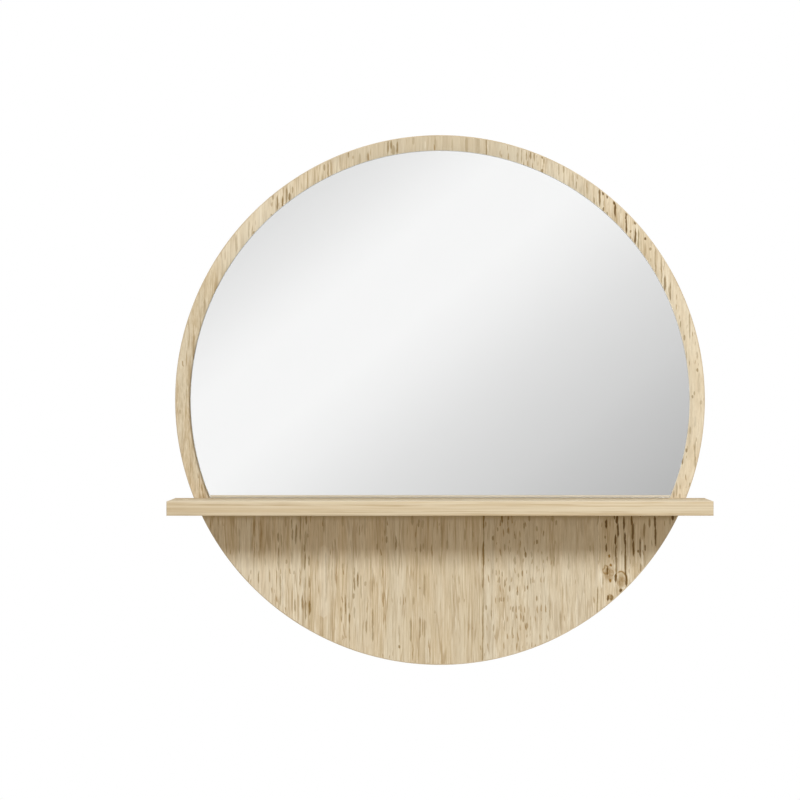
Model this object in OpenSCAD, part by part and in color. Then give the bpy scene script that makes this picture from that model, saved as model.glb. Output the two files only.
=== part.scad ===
// Round wall mirror with a shelf, in millimetres.
// A laminated disc hangs on the wall by two keyhole plates. A mirror plate, cut straight along
// the shelf, is taped to its front, and the shelf is dowelled and screwed on from behind.
// +X is the viewer's right, +Z is up, and the front faces -Y. The origin lies on the wall
// plane, behind the centre of the disc.

/* [Board] */
// Diameter of the round board, over its edge band
board_d = 450; // [400:5:600]
// Thickness of the board, over both laminates
board_t = 12; // [11:0.5:18]

/* [Laminate] */
// Thickness of the oak-effect laminate on the board and the shelf
laminate_t = 0.5; // [0.3:0.1:1]
// Thickness of the edge bands
band_t = 0.8; // [0.4:0.1:2]

/* [Mirror] */
// Width of the ring of board that shows around the mirror
ring_w = 13.3; // [5:0.1:40]
// Thickness of the mirror glass
glass_t = 3; // [2:0.5:5]
// Thickness of the silver coat and the paint behind it
silvering_t = 0.2; // [0.1:0.05:0.5]
// Gap between the mirror's straight edge and the shelf's top
mirror_gap = 0.4; // [0.2:0.1:2]

/* [Mirror tapes] */
// Thickness of the foam tapes that hold the mirror
tape_t = 0.8; // [0.5:0.1:2]
// Width of each tape
tape_w = 20; // [10:1:30]
// Distance between the middles of neighbouring tapes
tape_pitch = 65; // [35:1:70]
// Distance from each tape's ends to the mirror's edge
tape_margin = 18; // [5:1:40]

/* [Shelf] */
// How far each end of the shelf stops short of the board's side
shelf_end_inset = 0; // [0:1:40]
// How far the shelf stands out from the board
shelf_depth = 88; // [60:1:140]
// Thickness of the shelf, over both laminates
shelf_t = 12; // [11:0.5:20]
// Height of the disc's centre above the shelf's top
shelf_drop = 83.2; // [60:0.1:120]

/* [Shelf screws] */
// Distance between neighbouring shelf screws
shelf_screw_pitch = 150; // [110:5:170]
// Diameter of the screws over their thread
shelf_screw_d = 4; // [3:0.5:5]
// Length of the screws with their heads
shelf_screw_l = 40; // [25:1:50]
// Diameter of the countersunk heads
shelf_screw_head_d = 8; // [6:0.5:10]
// How far the heads lie below the board's back
shelf_screw_sink = 0.3; // [0:0.1:1]
// Clearance of each screw in its hole through the board, all round
shelf_screw_clearance = 0.2; // [0.1:0.05:0.5]

/* [Shelf dowels] */
// Distance between the two dowels
dowel_spacing = 150; // [60:10:260]
// Diameter of the dowels
dowel_d = 6; // [5:0.5:8]
// Length of the dowels
dowel_l = 30; // [20:1:40]
// Depth of the dowels in the board
dowel_in_board = 8; // [5:0.5:9]
// Room left for glue past each end of a dowel
dowel_end_gap = 0.5; // [0.2:0.1:1]

/* [Keyhole hangers] */
// Distance between the two hangers
hanger_spacing = 200; // [120:10:260]
// Height of the wall screws above the disc's centre, once it hangs on them
hanger_rise = 110; // [60:5:140]
// Width of a hanger plate
plate_w = 16; // [15:0.5:24]
// Length of a hanger plate
plate_l = 46; // [44:1:60]
// Thickness of a hanger plate
plate_t = 1.5; // [1:0.25:3]
// Clearance of a plate in its recess, all round
plate_clearance = 0.2; // [0.1:0.05:0.5]
// Diameter of the hole that a wall screw's head goes in by
entry_d = 10; // [8:0.5:11]
// Width of the slot that its shank then sits in
slot_w = 5; // [4:0.25:5.5]
// Distance from the middle of the entry hole up to the slot's end arc
slot_rise = 11; // [9:0.5:14]
// Depth of the pocket behind a plate, from the board's back
pocket_depth = 8; // [6:0.5:9]
// Clearance between the pocket and the entry hole, all round
pocket_clearance = 0.5; // [0.2:0.1:1]

/* [Hanger screws] */
// Distance from each end of a plate to the middle of its screw
hanger_screw_inset = 5; // [4:0.5:6]
// Diameter of the screws over their thread
hanger_screw_d = 3; // [2:0.5:3.5]
// Length of the screws with their heads
hanger_screw_l = 9; // [6:0.5:9.5]
// Diameter of the countersunk heads
hanger_screw_head_d = 6; // [5:0.5:6.5]

/* [Screws] */
// Room left past each screw's tip in its hole
screw_tip_gap = 0.5; // [0.2:0.1:1]
// Width of the cross recess, as a share of the head's diameter
recess_span = 0.6; // [0.4:0.05:0.7]
// Width of each slot of the cross recess
recess_w = 0.9; // [0.5:0.1:1.2]
// Depth of the cross recess
recess_depth = 1.1; // [0.5:0.1:1.3]

/* [Hidden] */

LEFT = -1;
RIGHT = 1;
UPPER = 1;
LOWER = -1;
past = 1; // how far a cut runs past the faces that it opens

oak = [0.81, 0.74, 0.62];
oak_edge = [0.77, 0.70, 0.57];
fibreboard = [0.66, 0.52, 0.37];

// the board and the mirror, as depths from the wall
core_r = board_d / 2 - band_t;
board_core_t = board_t - 2 * laminate_t;
tape_depth = board_t;
silvering_depth = tape_depth + tape_t;
glass_depth = silvering_depth + silvering_t;
mirror_r = board_d / 2 - ring_w;
mirror_bottom = mirror_gap - shelf_drop;

// the shelf: its length, that and its depth inside the bands, and the height of its middle
shelf_l = board_d - 2 * shelf_end_inset;
shelf_inner_l = shelf_l - 2 * band_t;
shelf_inner_depth = shelf_depth - 2 * band_t;
shelf_core_t = shelf_t - 2 * laminate_t;
shelf_bottom = -shelf_drop - shelf_t;
shelf_middle = -shelf_drop - shelf_t / 2;

// the hangers: the height of a plate's middle, how far its screws lie from there, and the pocket
plate_middle = hanger_rise - slot_rise / 2;
hanger_screw_rise = plate_l / 2 - hanger_screw_inset;
pocket_w = entry_d + 2 * pocket_clearance;

$fn = 144;
small_fn = 48;

// Places what is drawn on the wall plane and rises into the board, at a point of the disc
module from_wall(x = 0, z = 0, depth = 0)
    translate([x, -depth, z]) rotate([90, 0, 0]) children();

// One layer of the board or the mirror, from its outline seen from the front
module layer(depth, thickness)
    from_wall(depth = depth) linear_extrude(thickness) children();

// A slot's outline: a rectangle with round ends, upright, from one end arc's centre to the other
module slot_outline(width, rise) {
    translate([-width / 2, 0]) square([width, rise]);
    for (y = [0, rise]) translate([0, y]) circle(d = width, $fn = small_fn);
}

// A countersunk screw that points along +Z, its head's flat face on z = 0
module screw(d, length, head_d) {
    head_h = (head_d - d) / 2;
    tip_d = d / 5;
    profile = [
        [0, 0], [head_d / 2, 0], [d / 2, head_h], [d / 2, length - d], [tip_d / 2, length], [0, length]
    ];
    difference() {
        rotate_extrude($fn = small_fn) polygon(profile);
        for (turn = [0, 90]) rotate(turn)
            translate([-recess_span * head_d / 2, -recess_w / 2, -past])
                cube([recess_span * head_d, recess_w, past + recess_depth]);
    }
}

// The hole for such a screw through a piece: its countersink, and a bore that runs past its tip
module screw_hole(d, length, head_d, clearance = 0) {
    translate([0, 0, -past]) cylinder(h = past, d = head_d, $fn = small_fn);
    cylinder(h = (head_d - d) / 2, d1 = head_d, d2 = d, $fn = small_fn);
    cylinder(h = length + past, d = d + 2 * clearance, $fn = small_fn);
}

// A dowel that points along +Z, with a chamfer at each end
module dowel() {
    chamfer = dowel_d / 8;
    r = dowel_d / 2;
    profile = [
        [0, 0], [r - chamfer, 0], [r, chamfer],
        [r, dowel_l - chamfer], [r - chamfer, dowel_l], [0, dowel_l]
    ];
    rotate_extrude($fn = small_fn) polygon(profile);
}

// Where the shelf's screws and dowels go: in the middle of its back edge
module at_shelf_screw(place)
    from_wall(place * shelf_screw_pitch, shelf_middle, shelf_screw_sink) children();

module at_dowel(side)
    from_wall(side * dowel_spacing / 2, shelf_middle, board_t - dowel_in_board) children();

// Where the hangers and their screws go
module at_hanger(side)
    from_wall(side * hanger_spacing / 2, plate_middle) children();

module at_hanger_screw(side, end)
    from_wall(side * hanger_spacing / 2, plate_middle + end * hanger_screw_rise) children();

// All that is cut out of the board for the shelf's fixings and the hangers
module board_cuts() {
    for (place = [LEFT, 0, RIGHT]) at_shelf_screw(place)
        screw_hole(shelf_screw_d, shelf_screw_l, shelf_screw_head_d, shelf_screw_clearance);
    for (side = [LEFT, RIGHT]) {
        at_dowel(side) translate([0, 0, -dowel_end_gap])
            cylinder(h = dowel_l, d = dowel_d, $fn = small_fn);
        at_hanger(side) {
            translate([0, 0, -past]) linear_extrude(past + plate_t) plate_outline(plate_clearance);
            linear_extrude(pocket_depth) translate([0, -slot_rise / 2]) slot_outline(pocket_w, slot_rise);
        }
        for (end = [LOWER, UPPER]) at_hanger_screw(side, end)
            cylinder(h = hanger_screw_l + screw_tip_gap, d = hanger_screw_d, $fn = small_fn);
    }
}

// A hanger plate's outline, grown by a clearance
module plate_outline(grow = 0) {
    rise = plate_l - plate_w;
    translate([0, -rise / 2]) slot_outline(plate_w + 2 * grow, rise);
}

module board_core() {
    color(fibreboard) difference() {
        layer(laminate_t, board_core_t) circle(core_r);
        board_cuts();
    }
}

module board_front_laminate() {
    color(oak) difference() {
        layer(board_t - laminate_t, laminate_t) circle(core_r);
        board_cuts();
    }
}

module board_back_laminate() {
    color(oak) difference() {
        layer(0, laminate_t) circle(core_r);
        board_cuts();
    }
}

module board_edge_band() {
    color(oak_edge) layer(0, board_t) difference() {
        circle(d = board_d);
        circle(core_r);
    }
}

// The mirror's outline: the disc inside the ring, cut off level just above the shelf
module mirror_outline() {
    intersection() {
        circle(mirror_r);
        translate([-mirror_r, mirror_bottom]) square([2 * mirror_r, mirror_r - mirror_bottom]);
    }
}

module mirror_glass() {
    color([0.86, 0.88, 0.88]) layer(glass_depth, glass_t) mirror_outline();
}

module mirror_silvering() {
    color([0.75, 0.76, 0.77]) layer(silvering_depth, silvering_t) mirror_outline();
}

// One upright tape behind the mirror, counted from the middle one
module mirror_tape(place) {
    x = place * tape_pitch;
    bottom = mirror_bottom + tape_margin;
    top = sqrt(pow(mirror_r, 2) - pow(abs(x) + tape_w / 2, 2)) - tape_margin;
    color([0.93, 0.93, 0.9]) layer(tape_depth, tape_t)
        translate([x - tape_w / 2, bottom]) square([tape_w, top - bottom]);
}

module mirror_tape_far_left() mirror_tape(-2);
module mirror_tape_left() mirror_tape(-1);
module mirror_tape_centre() mirror_tape(0);
module mirror_tape_right() mirror_tape(1);
module mirror_tape_far_right() mirror_tape(2);

// A block of the shelf, placed by its far left lower corner inside the bands
module shelf_block(z, size, x = 0, y = 0)
    translate([x - shelf_inner_l / 2, -board_t - band_t - shelf_inner_depth + y, z]) cube(size);

// The holes for the screws and dowels in the shelf's back edge
module shelf_cuts() {
    for (place = [LEFT, 0, RIGHT]) at_shelf_screw(place)
        cylinder(h = shelf_screw_l + screw_tip_gap, d = shelf_screw_d, $fn = small_fn);
    for (side = [LEFT, RIGHT]) at_dowel(side)
        cylinder(h = dowel_l + dowel_end_gap, d = dowel_d, $fn = small_fn);
}

module shelf_core() {
    color(fibreboard) difference() {
        shelf_block(shelf_bottom + laminate_t, [shelf_inner_l, shelf_inner_depth, shelf_core_t]);
        shelf_cuts();
    }
}

module shelf_laminate(z)
    color(oak) shelf_block(z, [shelf_inner_l, shelf_inner_depth, laminate_t]);

module shelf_top_laminate() shelf_laminate(-shelf_drop - laminate_t);
module shelf_bottom_laminate() shelf_laminate(shelf_bottom);

// The bands on the long edges cover the ends of those on the short ones
module shelf_front_band() {
    color(oak) shelf_block(shelf_bottom, [shelf_l, band_t, shelf_t], -band_t, -band_t);
}

module shelf_back_band() {
    color(oak_edge) difference() {
        shelf_block(shelf_bottom, [shelf_l, band_t, shelf_t], -band_t, shelf_inner_depth);
        shelf_cuts();
    }
}

module shelf_left_band() {
    color(oak_edge) shelf_block(shelf_bottom, [band_t, shelf_inner_depth, shelf_t], -band_t);
}

module shelf_right_band() {
    color(oak_edge) shelf_block(shelf_bottom, [band_t, shelf_inner_depth, shelf_t], shelf_inner_l);
}

module shelf_dowel(side)
    color([0.85, 0.72, 0.5]) at_dowel(side) dowel();

module shelf_dowel_left() shelf_dowel(LEFT);
module shelf_dowel_right() shelf_dowel(RIGHT);

module shelf_screw(place)
    color("silver") at_shelf_screw(place) screw(shelf_screw_d, shelf_screw_l, shelf_screw_head_d);

module shelf_screw_left() shelf_screw(LEFT);
module shelf_screw_centre() shelf_screw(0);
module shelf_screw_right() shelf_screw(RIGHT);

// A steel plate with a keyhole, flush with the board's back
module hanger_plate(side) {
    color("lightsteelblue") difference() {
        at_hanger(side) linear_extrude(plate_t) difference() {
            plate_outline();
            translate([0, -slot_rise / 2]) circle(d = entry_d, $fn = small_fn);
            translate([0, -slot_rise / 2]) slot_outline(slot_w, slot_rise);
        }
        for (end = [LOWER, UPPER]) at_hanger_screw(side, end)
            screw_hole(hanger_screw_d, hanger_screw_l, hanger_screw_head_d);
    }
}

module hanger_plate_left() hanger_plate(LEFT);
module hanger_plate_right() hanger_plate(RIGHT);

module hanger_screw(side, end)
    color("silver") at_hanger_screw(side, end) screw(hanger_screw_d, hanger_screw_l, hanger_screw_head_d);

module hanger_screw_left_upper() hanger_screw(LEFT, UPPER);
module hanger_screw_left_lower() hanger_screw(LEFT, LOWER);
module hanger_screw_right_upper() hanger_screw(RIGHT, UPPER);
module hanger_screw_right_lower() hanger_screw(RIGHT, LOWER);

board_core();
board_front_laminate();
board_back_laminate();
board_edge_band();
mirror_glass();
mirror_silvering();
mirror_tape_far_left();
mirror_tape_left();
mirror_tape_centre();
mirror_tape_right();
mirror_tape_far_right();
shelf_core();
shelf_top_laminate();
shelf_bottom_laminate();
shelf_front_band();
shelf_back_band();
shelf_left_band();
shelf_right_band();
shelf_dowel_left();
shelf_dowel_right();
shelf_screw_left();
shelf_screw_centre();
shelf_screw_right();
hanger_plate_left();
hanger_plate_right();
hanger_screw_left_upper();
hanger_screw_left_lower();
hanger_screw_right_upper();
hanger_screw_right_lower();
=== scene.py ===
from math import cos, pi, radians, sin

import bmesh
import bpy
from bpy.props import FloatProperty, FloatVectorProperty, PointerProperty
from mathutils import Color, Matrix, Vector


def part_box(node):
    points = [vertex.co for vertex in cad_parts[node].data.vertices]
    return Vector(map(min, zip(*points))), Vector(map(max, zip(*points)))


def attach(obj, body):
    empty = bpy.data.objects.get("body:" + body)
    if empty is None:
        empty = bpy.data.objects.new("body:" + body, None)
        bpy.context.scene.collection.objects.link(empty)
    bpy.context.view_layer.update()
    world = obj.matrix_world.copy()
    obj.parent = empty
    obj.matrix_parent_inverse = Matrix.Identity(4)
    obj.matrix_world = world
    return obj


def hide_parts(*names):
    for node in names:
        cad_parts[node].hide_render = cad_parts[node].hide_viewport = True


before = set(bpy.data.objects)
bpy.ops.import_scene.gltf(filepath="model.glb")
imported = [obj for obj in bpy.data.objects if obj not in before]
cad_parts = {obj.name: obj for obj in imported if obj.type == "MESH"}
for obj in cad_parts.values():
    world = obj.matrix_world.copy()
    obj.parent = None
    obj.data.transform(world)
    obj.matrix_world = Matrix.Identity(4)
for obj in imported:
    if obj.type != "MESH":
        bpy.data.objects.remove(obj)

bl_info = {
    "name": "Round mirror with shelf",
    "version": (1, 0, 0),
    "blender": (4, 5, 0),
    "location": "3D View > Sidebar > Mirror",
    "description": "Dresses a round oak-effect wall mirror with a shelf",
    "category": "Object",
}

MM = 0.001
ROOT = "root"
UP = Vector((0, 0, 1))
WHITE = (1, 1, 1)
X, Y, Z = range(3)
MIX_A, MIX_B, MIX_RESULT = 6, 7, 2  # a Mix node's sockets for colours
SAME_PLACE = 1e-6
MERGE_WITHIN = 1e-7
RIM_STEPS = 266  # as many as the CAD model's rim has, so that the two boxes agree
ROUNDING_STEPS = 3
SHARP_ANGLE = radians(35)
FACES_FRONT = 0.99  # from which share of its normal a face counts as turned to the front or back

# Places taken from the frame, in metres
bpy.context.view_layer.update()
BAND_LOW, BAND_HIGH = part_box("board_edge_band")
GLASS_LOW, GLASS_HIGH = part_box("mirror_glass")
SHELF_LOW, SHELF_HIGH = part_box("shelf_front_band")
BOARD_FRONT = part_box("board_front_laminate")[0].y
BOARD_RADIUS = BAND_HIGH.x
CORE_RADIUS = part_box("board_core")[1].x
MIRROR_RADIUS = GLASS_HIGH.x
SILVER_BITE = 0.05 * MM  # how far the glass runs into its silver coat, so no two faces coincide

# The board's planks and marks, in millimetres from its middle. A mark is a line along the grain:
# its place across, where it begins and ends, its width, and how dark it is from 0 to 1.
TAPER = 5  # over what length a mark thins out to its end, if it is long enough
SEAM = 37.9
SECOND_SEAM = 134.9
SEAM_LEAN = 0.007  # how far the seams lean to the right for each millimetre up
BOARD_REACH = 230
SEAMS = (
    (SEAM, -BOARD_REACH, BOARD_REACH, 1.3, 0.5), (SEAM, 200, BOARD_REACH, 1.4, 0.85),
    (SEAM, -112, -90, 1.6, 1.0), (SEAM, -122, -108, 1.3, 0.6), (SEAM, -144, -118, 1.7, 1.0),
    (SEAM - 0.3, -162, -140, 1.6, 0.85), (SEAM - 0.1, -BOARD_REACH, -171, 1.4, 0.65),
    (SECOND_SEAM, -192, -157, 1.2, 0.85), (SECOND_SEAM, -107, -90, 1.1, 0.55),
)
CRACKS = (
    # on the weathered right plank, below the shelf
    (141.1, -110, -100.5, 1.8, 1.0), (140.3, -118, -115, 1.3, 0.45), (141.3, -130, -121, 1.5, 0.75),
    (148.2, -102, -97, 1.4, 0.65), (150.2, -106, -97, 2.0, 0.9), (151.1, -118, -103, 1.7, 0.9),
    (148.9, -124, -113.5, 1.7, 0.95), (149.5, -136, -121, 1.5, 0.7), (149.7, -149, -131, 2.4, 0.5),
    (149.3, -156, -146.5, 1.8, 0.95), (150.2, -166, -156, 1.5, 0.25), (156.2, -113, -97, 1.6, 0.85),
    (157.0, -124, -111, 1.7, 0.95), (157.6, -152, -117, 1.5, 0.72), (158.2, -159.5, -146, 1.6, 0.8),
    (162.9, -107, -97, 1.8, 0.8), (163.9, -121, -103, 1.8, 0.7), (164.3, -134, -118, 1.5, 0.8),
    (163.9, -143, -134, 1.2, 0.2), (168.3, -130, -127, 1.5, 0.6), (169.8, -136, -115, 1.2, 0.7),
    (170.5, -147, -138, 1.6, 0.45), (173.3, -119, -103, 1.8, 0.45), (174.3, -129, -122, 1.4, 0.65),
    (173.8, -143, -130, 1.3, 0.3), (177.8, -109, -99, 1.7, 0.45), (182.6, -110, -97, 1.8, 0.9),
    (183.2, -126, -106, 1.5, 0.75), (197.8, -103, -97, 2.1, 1.0), (195.5, -107, -99, 1.4, 0.3),
    (142.2, -150, -141, 1.4, 0.85), (138.7, -158, -149, 1.6, 0.3), (142.7, -171, -165, 1.5, 0.75),
    (145.8, -171, -165, 2.7, 0.5), (153.8, -164.5, -159.5, 1.9, 0.8), (136.2, -138, -120, 1.0, 0.25),
    # on the ring, upper right
    (130.6, 167, 173, 1.4, 0.4), (135.6, 163, 181, 1.6, 0.65), (138.6, 173.5, 177.5, 1.7, 0.8),
    (138.7, 160, 164, 1.3, 0.6), (139.0, 164, 170, 1.3, 0.25), (141.9, 170.5, 176, 1.7, 0.9),
    (142.0, 156, 160.5, 1.5, 0.5), (147.8, 165.5, 169.5, 2.1, 0.85), (148.8, 154, 168, 1.6, 0.85),
    (153.4, 158, 163, 1.7, 0.2), (158.0, 152, 161, 1.7, 0.75), (158.2, 140, 156, 1.5, 0.85),
    (161.7, 142, 144.5, 1.6, 0.5), (161.9, 135, 140, 1.4, 0.4), (165.6, 148.5, 153, 1.8, 0.6),
    (166.0, 131, 147, 1.6, 0.75), (168.6, 127, 146, 1.3, 0.45), (174.4, 135.5, 138.5, 1.6, 0.8),
    (174.3, 121, 135, 1.8, 0.25), (178.6, 126.5, 130, 1.7, 0.45), (178.9, 130, 136, 1.6, 0.2),
    (182.9, 106, 130, 1.3, 0.35), (188.1, 97, 123, 1.3, 0.4), (190.9, 91, 107, 1.6, 0.55),
    (190.6, 112, 119, 1.2, 0.25), (195.6, 83, 101, 1.3, 0.55), (204.3, 61, 68, 1.0, 0.5),
)
CRACK_WIDENING = 1.25
STREAKS = (
    # on the left plank, below the shelf
    (-170.2, -132, -108, 1.4, 0.35), (-160.5, -132, -100, 1.8, 0.3), (-153.9, -157, -144, 1.3, 0.65),
    (-148.6, -142, -133, 1.0, 0.35), (-141.9, -116, -97, 1.6, 0.3), (-137.4, -122, -111, 1.5, 0.7),
    (-137.2, -146, -122, 1.2, 0.5), (-135.6, -176, -148, 1.3, 0.6), (-134.5, -126, -113, 1.2, 0.45),
    (-131.0, -109, -98, 1.4, 0.4), (-130.3, -139.5, -135, 1.4, 0.45), (-131.2, -158, -142, 1.2, 0.25),
    (-126.1, -141, -127, 1.4, 0.35), (-125.9, -110, -100, 1.6, 0.65), (-125.3, -120, -108, 1.5, 0.6),
    (-124.0, -148.5, -144.5, 1.4, 0.4), (-123.1, -181, -168, 1.5, 0.65),
    (-122.4, -124, -104, 1.6, 0.75), (-118.5, -122, -97, 1.6, 0.5), (-117.1, -180, -165, 1.5, 0.7),
    (-115.2, -130, -121, 1.2, 0.65), (-114.8, -146, -129, 1.4, 0.7), (-114.3, -124, -110, 2.0, 0.35),
    (-114.2, -188, -169, 1.6, 0.7), (-114.4, -162, -149, 1.2, 0.35), (-113.6, -107, -97, 1.4, 0.75),
    (-112.2, -117, -113, 1.6, 0.5), (-111.3, -142, -131, 1.5, 0.75), (-110.8, -161, -149, 1.3, 0.65),
    (-110.6, -184, -169, 1.8, 0.95), (-98.7, -114, -97, 1.4, 0.4), (-96.9, -174, -128, 1.3, 0.3),
    (-91.8, -161, -141, 1.4, 0.3), (-82.6, -144.5, -138, 1.3, 0.35), (-83.8, -190, -175, 2.0, 0.3),
    (-82.5, -109, -97, 2.0, 0.35), (-80.2, -183, -163, 1.3, 0.6), (-80.0, -183, -170, 1.4, 0.9),
    (-76.9, -191.5, -180, 1.3, 0.9), (-76.8, -206, -190, 1.2, 0.4), (-77.3, -178, -171, 1.2, 0.4),
    (-72.5, -150, -141, 1.1, 0.5), (-72.8, -163.5, -149, 1.4, 0.75), (-73.4, -169.5, -163.5, 1.5, 0.6),
    (-72.6, -187, -174, 1.4, 0.5), (-69.6, -160.5, -145, 1.4, 1.0), (-67.0, -170, -147, 1.3, 0.4),
    (-63.2, -158.5, -153.5, 1.8, 0.45), (-62.4, -199.5, -184, 1.3, 0.65), (-63.8, -118, -97, 1.4, 0.3),
    (-57.3, -166, -141, 1.4, 0.35), (-57.2, -207, -176, 1.4, 0.65), (-53.5, -128, -121, 1.6, 0.35),
    (-45.3, -122.5, -115, 1.5, 0.7), (-45.8, -117, -97, 2.0, 0.3), (-47.8, -170, -162, 1.6, 0.25),
    (-37.3, -129, -114, 1.5, 0.75), (-34.9, -211.5, -207.5, 1.8, 0.85), (-34.7, -208, -190, 1.2, 0.45),
    (-33.8, -175, -166, 1.4, 0.3), (-24.7, -207, -183, 1.4, 0.55), (-23.5, -107, -97, 2.2, 0.45),
    (-22.2, -175, -166, 1.4, 0.4), (-20.8, -129.5, -125, 1.3, 0.5), (-18.0, -109, -100, 1.8, 0.6),
    (-16.5, -130.5, -121, 1.4, 0.65), (-14.2, -127.5, -121, 1.1, 0.5), (-14.4, -110, -101, 2.5, 0.35),
    (-17.2, -205, -183, 1.5, 0.6), (-16.8, -161, -158, 1.8, 0.4), (-13.0, -169, -147, 1.6, 0.45),
    (-13.0, -203, -185, 2.0, 0.4), (-4.2, -182, -178, 1.6, 0.3), (1.2, -127, -97, 1.5, 0.35),
    (6.3, -128, -118, 1.8, 0.3), (12.0, -156, -134, 2.4, 0.25), (21.3, -121, -107, 1.4, 0.4),
    (27.8, -123, -97, 1.4, 0.35),
    # pores on the middle plank
    (52.6, -105.5, -97, 1.9, 1.0), (57.8, -102.5, -98, 1.6, 0.8), (75.8, -104, -97, 2.0, 0.6),
    (71.5, -110, -103.5, 1.4, 0.6), (48.9, -112, -107.5, 1.3, 0.6), (57.2, -113.5, -108.5, 1.5, 0.5),
    (82.4, -112, -106, 1.4, 0.6), (82.4, -123, -118, 1.6, 0.8), (87.8, -116.5, -110.5, 1.3, 0.45),
    (45.1, -120, -114.5, 1.8, 0.8), (63.8, -119, -113, 1.6, 0.45), (98.6, -107, -101.5, 1.5, 0.6),
    (95.5, -104, -97, 2.0, 0.4), (54.8, -129, -121.5, 1.3, 0.5), (59.9, -129.5, -124.5, 1.3, 0.4),
    (72.8, -134.5, -128.5, 1.7, 0.85), (77.5, -134.5, -127.5, 1.5, 0.4),
    (48.2, -138.5, -133.5, 1.3, 0.5), (63.9, -140.5, -132, 1.6, 0.5), (90.9, -137, -132.5, 1.3, 0.45),
    (96.9, -143, -131, 1.3, 0.5), (109.3, -146, -129, 1.4, 0.35), (127.7, -129.5, -122.5, 1.8, 0.4),
    (70.0, -150.5, -144, 1.4, 0.8), (47.6, -149.5, -143.5, 1.3, 0.5), (44.8, -148.5, -142.5, 1.2, 0.35),
    (52.8, -150.5, -145, 1.2, 0.5), (50.3, -156.5, -149.5, 1.1, 0.6), (54.9, -159.5, -151.5, 1.4, 0.85),
    (59.2, -163.5, -156.5, 1.2, 0.7), (66.5, -151.5, -146.5, 1.2, 0.5),
    (77.0, -157.5, -150.5, 1.2, 0.45), (74.2, -161.5, -157, 1.3, 0.75),
    (65.9, -166.5, -161.5, 1.6, 0.8), (54.0, -171.5, -167, 1.5, 0.5), (50.5, -172.5, -167, 1.3, 0.5),
    (82.4, -171, -166, 1.5, 0.55), (62.1, -181.5, -174.5, 1.5, 0.75), (67.2, -178.5, -174.5, 1.3, 0.45),
    (39.0, -179, -173.5, 1.4, 0.6), (43.5, -184.5, -177.5, 1.1, 0.45), (93.5, -189, -169, 1.2, 0.5),
    (102.3, -200, -178, 1.6, 0.3), (70.8, -189.5, -182.5, 1.3, 0.6), (73.6, -195.5, -188.5, 1.3, 0.6),
    (45.3, -197.5, -189.5, 1.2, 0.5), (54.7, -197.5, -186, 1.2, 0.4), (61.4, -200.5, -191.5, 1.2, 0.45),
    # on the ring, left and top
    (-220.8, -12.5, -7.5, 1.7, 0.4), (-212.3, -64, -50, 1.1, 0.3), (-209.2, 40, 56, 1.4, 0.25),
    (-200.0, 72, 88, 1.3, 0.45), (-185.0, 103, 122, 1.6, 0.2), (-173.0, 124, 142, 1.7, 0.45),
    (-162.4, 136, 154, 1.3, 0.4), (-158.2, 140.5, 144, 1.7, 0.7), (-144.2, 164, 173, 1.2, 0.3),
    (-143.2, 155.5, 158.5, 1.5, 0.6), (-142.1, 169, 176, 1.3, 0.75), (-138.3, 160, 175, 1.5, 0.85),
    (-133.7, 163, 174, 1.5, 0.9), (-130.0, 166, 182, 1.5, 0.75), (-127.6, 168, 177, 1.7, 0.9),
    (-125.2, 175, 182, 1.4, 0.6), (-106.5, 183, 197, 1.5, 0.25), (-98.2, 194, 201, 1.6, 0.65),
    (-95.0, 189, 203, 1.3, 0.6), (-92.3, 190, 205, 1.1, 0.4), (-77.6, 205, 212, 1.4, 0.75),
    (-68.1, 199, 211, 1.6, 0.4), (-61.6, 202, 211, 1.3, 0.4), (-44.1, 208, 222, 1.6, 0.85),
    (-41.3, 212, 222, 1.7, 0.8), (-39.3, 207, 217, 3.0, 0.5), (-36.2, 208, 221, 1.6, 0.75),
    (-22.7, 216, 225, 2.4, 0.3), (-4.0, 212, 223, 2.0, 0.3), (10.5, 210, 223, 1.4, 0.3),
    (22.8, 208, 225, 3.4, 0.35), (32.5, 207, 225, 4.2, 0.25), (65.7, 200, 211, 1.9, 0.35),
    (69.4, 200, 215, 1.3, 0.55), (73.6, 203, 210, 1.4, 0.4), (77.0, 203.5, 212, 1.3, 0.75),
    (80.0, 202, 211, 1.2, 0.55), (87.2, 204.5, 208, 1.9, 0.8), (88.4, 200, 206, 1.3, 0.6),
    (86.7, 193, 196.5, 1.9, 0.8), (100.7, 189, 203, 1.5, 0.45), (104.9, 192, 201, 1.3, 0.6),
    (112.7, 179, 195, 1.5, 0.45), (115.6, 178, 186.5, 1.5, 0.7), (125.1, 174, 182, 1.7, 0.35),
    # on the ring, right
    (211.9, 50, 76, 1.4, 0.55), (207.7, 50, 56, 1.7, 0.65), (218.4, 34, 42, 1.4, 0.45),
    (218.6, 23.5, 27.5, 1.7, 0.7), (216.0, 3.5, 8, 1.3, 0.55), (214.4, 1, 4.5, 1.5, 0.65),
    (221.4, -4.5, 0.5, 1.7, 0.4), (212.6, -30, -22, 1.9, 0.45), (216.6, -60, -33, 1.4, 0.5),
    (209.2, -45, -40.5, 1.5, 0.75), (205.9, -55.5, -48, 1.4, 0.9), (201.1, -83, -69, 1.4, 0.65),
    (198.9, -84, -76, 1.3, 0.5), (203.8, -84, -79, 1.8, 0.5), (209.3, -84, -79, 1.6, 0.4),
    (219.7, 4, 25, 2.2, 0.25), (216.5, -24, -12, 1.8, 0.25), (211.7, -42, -20, 1.6, 0.25),
    (209.5, 33, 43, 1.6, 0.35), (212.0, -76, -69.5, 1.5, 0.75),
)
STREAK_WIDENING = 1.1
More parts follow.
